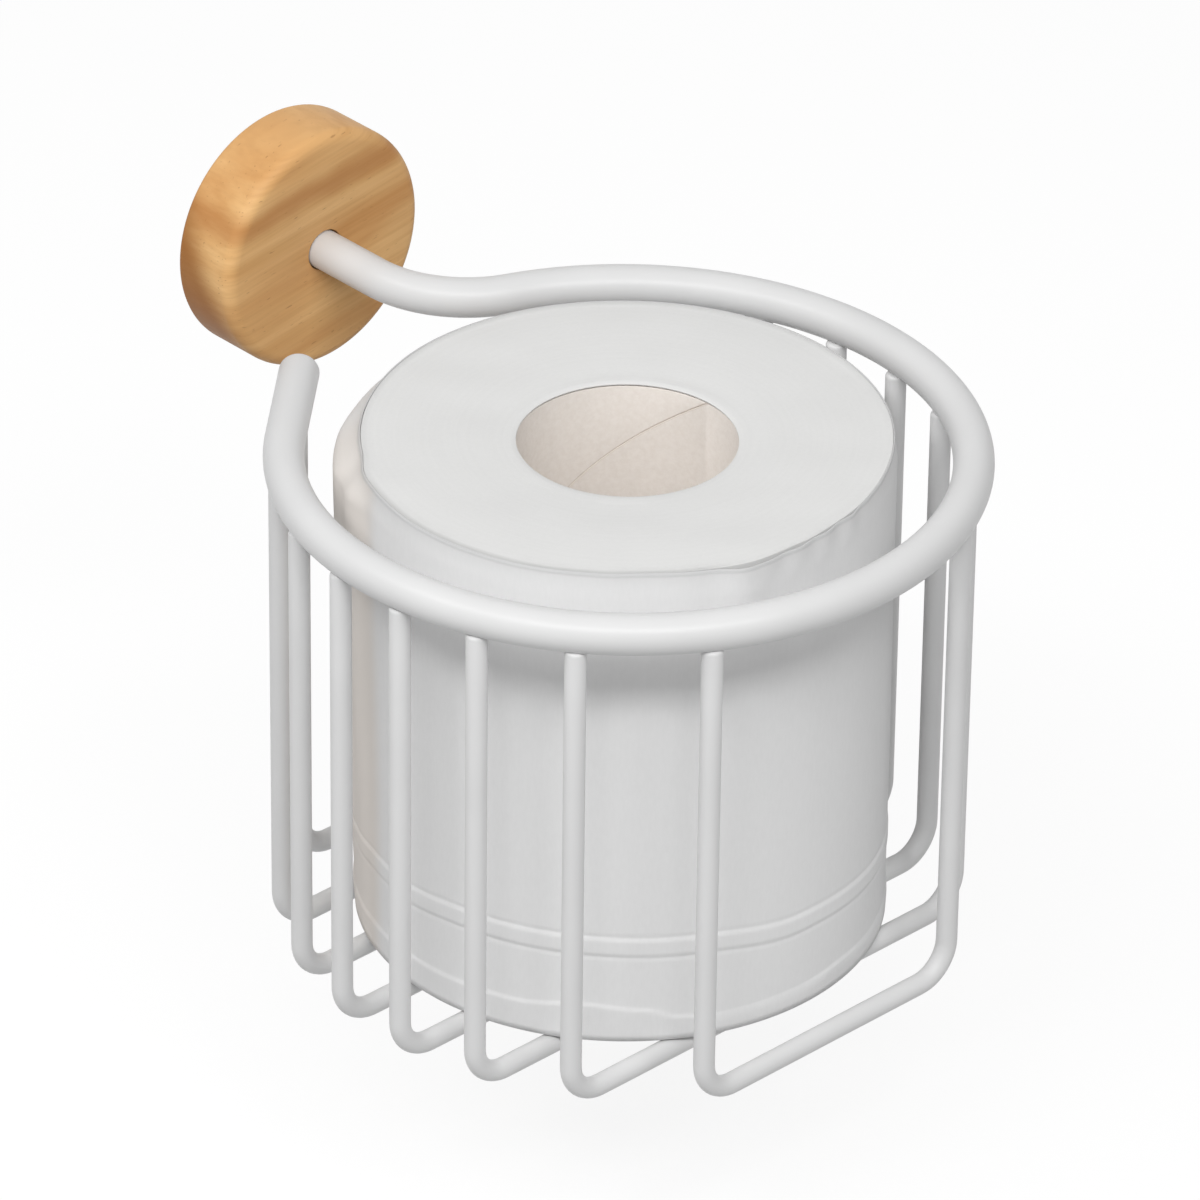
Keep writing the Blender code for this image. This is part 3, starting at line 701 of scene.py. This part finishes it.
def embossedTissue():
    # one sheet of soft two-ply tissue: matt, with a fine crepe grain and a few soft ripples;
    # where it stands loose, a painted warm beige tint stands for light that comes through it, and
    # painted shade darkens it towards its top edge
    finish, tree, shader = newFinish("embossedTissue", sheet["colour"], sheet["roughness"])
    shader.inputs["Specular IOR Level"].default_value = sheet["specular"]
    centred, parts = fromRollAxis(tree)
    # the crepe lines and the ripples run along the roll's axis
    across, along = 1 / sheet["crepeWidth"], 1 / sheet["crepeLength"]
    creped = addNode(tree, "ShaderNodeMapping", {
        "Vector": centred, "Scale": (across, across, along)})
    crepe = addNode(tree, "ShaderNodeTexNoise", {
        "Vector": creped.outputs[0], "Scale": 1.0, "Detail": 3.0, "Roughness": 0.6})
    across, along = 1 / sheet["rippleWidth"], 1 / sheet["rippleLength"]
    rippled = addNode(tree, "ShaderNodeMapping", {
        "Vector": centred, "Scale": (across, across, along)})
    ripples = addNode(tree, "ShaderNodeTexNoise", {
        "Vector": rippled.outputs[0], "Scale": 1.0, "Detail": 1.0})
    relief = addNode(tree, "ShaderNodeMath", {
        0: ripples.outputs[0], 1: sheet["rippleShare"], 2: crepe.outputs[0]},
        operation="MULTIPLY_ADD")
    bump = addNode(tree, "ShaderNodeBump", {
        "Height": relief.outputs[0], "Strength": sheet["reliefStrength"],
        "Distance": sheet["reliefDepth"]})
    shade = addNode(tree, "ShaderNodeMapRange", {
        "Value": crepe.outputs[0], "From Min": 0.35, "From Max": 0.65})
    dark, pale = sheet["mottle"]
    tone = addNode(tree, "ShaderNodeMix", {
        0: shade.outputs[0], 6: linear(dark), 7: linear(pale)}, data_type="RGBA")
    # painted warm light on the loose part
    glow = addNode(tree, "ShaderNodeAttribute", attribute_name="glow")
    colour = addNode(tree, "ShaderNodeMix", {
        0: glow.outputs["Fac"], 6: tone.outputs[2], 7: linear(sheet["paintedGlowColour"])},
        data_type="RGBA").outputs[2]
    # painted shade towards the top edge of the sheet
    for start, full, strength in sheet["paintedTopShade"]:
        inTopShade = addNode(tree, "ShaderNodeMapRange", {
            "Value": parts["Z"], "From Min": rollTop - start * mm,
            "From Max": rollTop - full * mm, "To Max": strength},
            interpolation_type="SMOOTHSTEP")
        colour = addNode(tree, "ShaderNodeMix", {
            0: inTopShade.outputs[0], 6: colour, 7: linear(sheet["paintedTopShadeColour"])},
            data_type="RGBA").outputs[2]
    tree.links.new(colour, shader.inputs["Base Color"])
    tree.links.new(bump.outputs[0], shader.inputs["Normal"])
    return finish


def sheetRadius(angle, z):
    turn = degrees(angle) % 360
    drop = rollTop - z
    # a narrow kink stays near the edge, a broad one reaches most of the way down
    isKink = sheet["kinks"][0] < turn < sheet["kinks"][1]
    reach = sheet["kinkReach"] if isKink else roundTable(sheet["looseReach"], turn) * mm
    loose = roundTable(sheet["standOff"], turn) * mm * (1.0 - smoothStep(0.0, reach, drop))
    tuckedIn = 1.0 - smoothStep(0.0, sheet["tuck"], drop)
    if not isKink:
        loose *= 1.0 - tuckedIn
    gap = sheet["gap"] + (sheet["cutGap"] - sheet["gap"]) * tuckedIn

    start, full, fullTo, end = sheet["waves"]
    phase = tau * (turn - start) / sheet["waveLength"]
    wave = sheet["waveHeight"] * (0.5 - 0.5 * cos(phase))
    wave *= smoothStep(start, full, turn) * smoothStep(end, fullTo, turn)
    wave *= 1.0 - smoothStep(0.0, sheet["waveReach"], drop)

    fromBand = abs(z - roundTable(sheet["band"], turn) * mm)
    halfBand = sheet["bandWidth"] / 2
    raised = sheet["bandRise"] * smoothStep(halfBand, halfBand - sheet["bandSlope"], fromBand)
    fromCrease = abs(fromBand - halfBand)
    crease = sheet["creaseDepth"] * max(0.0, 1.0 - fromCrease / sheet["creaseWidth"])

    underFold = roundTable(sheet["fold"], turn) * mm - z
    lip = sheet["foldRise"] * smoothStep(0.0, sheet["foldWidth"], underFold)
    lip *= 1.0 - sheet["foldSink"] * smoothStep(0.0, sheet["foldSinkReach"], underFold)
    return paperRadius(angle, z) + gap + loose + wave + raised - crease + lip


def sheetRows():
    # heights of the sheet's rows; they lie closer together at the band, the fold and the top
    rows, z = [], roll["bottom"]
    while z < rollTop - sheet["lastRow"]:
        rows.append(z)
        if any(low * mm < z < high * mm for low, high in sheet["fineZones"]):
            z += sheet["fineRow"]
        elif z < rollTop - sheet["topZone"]:
            z += sheet["row"]
        else:
            z += sheet["topRow"]
    return rows + [rollTop]


def makeSheet():
    bm = bmesh.new()
    centre = roll["axis"]
    start = Vector((cos(sheet["seamAngle"]), sin(sheet["seamAngle"]), 0.0)) * paper["outer"]
    verts = [bm.verts.new(centre + start + Vector((0.0, 0.0, z))) for z in sheetRows()]
    edges = [bm.edges.new(pair) for pair in zip(verts, verts[1:])]
    bmesh.ops.spin(
        bm, geom=verts + edges, cent=centre, axis=(0, 0, 1), angle=sheet["turn"],
        steps=sheet["columns"])
    for vert in bm.verts:
        angle = aboutAxis(vert.co)[0]
        out = sheetRadius(angle, vert.co.z)
        vert.co.x = centre.x + cos(angle) * out
        vert.co.y = centre.y + sin(angle) * out
    piece = newPiece(
        "outerSheet", bm, embossedTissue(), "paper", ["roll_wrap"],
        sheet["sharpAngle"])
    # share of painted warm light, for each vertex
    glow = piece.data.attributes.new("glow", "FLOAT", "POINT")
    for vert, value in zip(piece.data.vertices, glow.data):
        value.value = roundTable(sheet["glow"], degrees(aboutAxis(vert.co)[0]))
    shell = piece.modifiers.new("paperThickness", "SOLIDIFY")
    shell.thickness = sheet["thickness"]
    shell.offset = 1.0


makeCore()
makePaper()
makeSheet()
print("roll made")


# hardware behind and inside the disc keeps its frame shapes; each row is the finish's name,
# colour, roughness and grain
hardware = dict(
    wall_bracket=("zincPlate", "#B9BBBD", 0.36, 1.2 * mm),
    tie_washer=("washerZinc", "#C2C2C3", 0.4, 0.8 * mm),
    tie_screw=("screwZinc", "#B4B5B7", 0.33, 0.7 * mm),
    thread_insert=("turnedBrass", "#D5B36B", 0.3, 0.6 * mm),
    grub_screw=("blackOxide", "#34343A", 0.45, 0.5 * mm))
metal = dict(glossBelow=0.06, glossAbove=0.1, mottleDepth=0.02 * mm, mottleStrength=0.2)


def hardwareMetal(name, colour, roughness, grain):
    # zinc plate and black oxide on steel, and turned brass: a soft sheen with a slight mottle
    finish, tree, shader = newFinish(name, colour, roughness, 1.0)
    place = addNode(tree, "ShaderNodeTexCoord")
    mottle = addNode(tree, "ShaderNodeTexNoise", {
        "Vector": place.outputs["Object"], "Scale": 1 / grain, "Detail": 3.0,
        "Roughness": 0.6})
    gloss = addNode(tree, "ShaderNodeMapRange", {
        "Value": mottle.outputs[0], "From Min": 0.3, "From Max": 0.7,
        "To Min": roughness - metal["glossBelow"], "To Max": roughness + metal["glossAbove"]})
    bump = addNode(tree, "ShaderNodeBump", {
        "Height": mottle.outputs[0], "Strength": metal["mottleStrength"],
        "Distance": metal["mottleDepth"]})
    tree.links.new(gloss.outputs[0], shader.inputs["Roughness"])
    tree.links.new(bump.outputs[0], shader.inputs["Normal"])
    return finish


for nodeName, row in hardware.items():
    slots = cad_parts[nodeName].data.materials
    slots.clear()
    slots.append(hardwareMetal(*row))
print("hardware finished")


studio = dict(
    floorHeight=-160 * mm, floorSize=6.0, floorRoughness=0.9,
    floorColour="#BCBCBC",               # what lights the object from below
    floorGlow=0.875, floorSeen="#6A6A6A",    # what the camera sees: a glow and a soft shadow
    worldStrength=0.36,
    cameraTarget=Vector((-0.02375, -0.12099, -0.02399)), cameraDistance=1.765,
    cameraAzimuth=-43.51, cameraElevation=31.35, cameraRoll=0.73,
    lens=276.8, sensor=36.0, clip=(0.1, 30.0),
    # strip softboxes in a level arc, so that the wires cast no clear shadow and the ring does,
    # as (name, place, width and height in metres, watts)
    lampTarget=Vector((-0.01, -0.11, -0.04)),
    lamps=(
        ("sideStrip", (-0.855, 0.293, 1.0), (0.6, 0.22), 3.8),
        ("leftStrip", (-0.898, -0.407, 1.0), (0.6, 0.22), 5.2),
        ("middleStrip", (-0.655, -0.789, 1.0), (0.6, 0.22), 4.2),
        ("rightStrip", (-0.26, -1.012, 1.0), (0.6, 0.22), 5.0)))


def seenDirectly(tree):
    # 1 for what the camera sees by itself, in a reflection or through something clear
    path = addNode(tree, "ShaderNodeLightPath")
    either = addNode(tree, "ShaderNodeMath", {
        0: path.outputs["Is Camera Ray"], 1: path.outputs["Is Glossy Ray"]}, operation="ADD")
    return addNode(tree, "ShaderNodeMath", {
        0: either.outputs[0], 1: path.outputs["Is Transmission Ray"]}, operation="ADD",
        use_clamp=True).outputs[0]


def makeFloor():
    bm = bmesh.new()
    bmesh.ops.create_grid(
        bm, x_segments=1, y_segments=1, size=studio["floorSize"] / 2,
        matrix=Matrix.Translation((0.0, 0.0, studio["floorHeight"])))
    mesh = bpy.data.meshes.new("studioFloor")
    bm.to_mesh(mesh)
    bm.free()
    floor = bpy.data.objects.new("studioFloor", mesh)
    bpy.context.collection.objects.link(floor)
    # matt white paper; to the camera and in reflections it glows nearly white
    finish, tree, shader = newFinish(
        "studioPaper", studio["floorColour"], studio["floorRoughness"])
    glow = addNode(tree, "ShaderNodeEmission", {
        "Color": linear("#FFFFFF"), "Strength": studio["floorGlow"]})
    seen = addNode(tree, "ShaderNodeBsdfDiffuse", {"Color": linear(studio["floorSeen"])})
    both = addNode(tree, "ShaderNodeAddShader", {0: glow.outputs[0], 1: seen.outputs[0]})
    pick = addNode(tree, "ShaderNodeMixShader", {
        0: seenDirectly(tree), 1: shader.outputs[0], 2: both.outputs[0]})
    tree.links.new(pick.outputs[0], tree.nodes["Material Output"].inputs["Surface"])
    mesh.materials.append(finish)


def makeWorld():
    world = bpy.data.worlds.new("studioWorld")
    world.use_nodes = True
    bpy.context.scene.world = world
    tree = world.node_tree
    tree.nodes.clear()
    soft = addNode(tree, "ShaderNodeBackground", {
        "Color": linear("#FFFFFF"), "Strength": studio["worldStrength"]})
    white = addNode(tree, "ShaderNodeBackground", {"Color": linear("#FFFFFF"), "Strength": 1.0})
    pick = addNode(tree, "ShaderNodeMixShader", {
        0: seenDirectly(tree), 1: soft.outputs[0], 2: white.outputs[0]})
    addNode(tree, "ShaderNodeOutputWorld", {"Surface": pick.outputs[0]})


def addLamp(name, place, size, power):
    light = bpy.data.lights.new(name, "AREA")
    light.shape = "RECTANGLE"
    light.size, light.size_y = size
    light.energy = power
    lamp = bpy.data.objects.new(name, light)
    lamp.location = place
    lamp.rotation_mode = "QUATERNION"
    lamp.rotation_quaternion = (studio["lampTarget"] - Vector(place)).to_track_quat("-Z", "Y")
    bpy.context.collection.objects.link(lamp)


def makeCamera():
    azimuth, elevation = radians(studio["cameraAzimuth"]), radians(studio["cameraElevation"])
    back = Vector((
        sin(azimuth) * cos(elevation), -cos(azimuth) * cos(elevation), sin(elevation)))
    lean = Matrix.Rotation(radians(studio["cameraRoll"]), 3, "Z").to_quaternion()
    camera = bpy.data.objects.new("photoCamera", bpy.data.cameras.new("photoCamera"))
    camera.data.lens, camera.data.sensor_width = studio["lens"], studio["sensor"]
    camera.data.clip_start, camera.data.clip_end = studio["clip"]
    camera.location = studio["cameraTarget"] + back * studio["cameraDistance"]
    camera.rotation_mode = "QUATERNION"
    camera.rotation_quaternion = (-back).to_track_quat("-Z", "Y") @ lean
    bpy.context.collection.objects.link(camera)
    bpy.context.scene.camera = camera


makeFloor()
makeWorld()
for lampRow in studio["lamps"]:
    addLamp(*lampRow)
makeCamera()
bpy.context.scene.view_settings.view_transform = "Standard"
print("studio made")
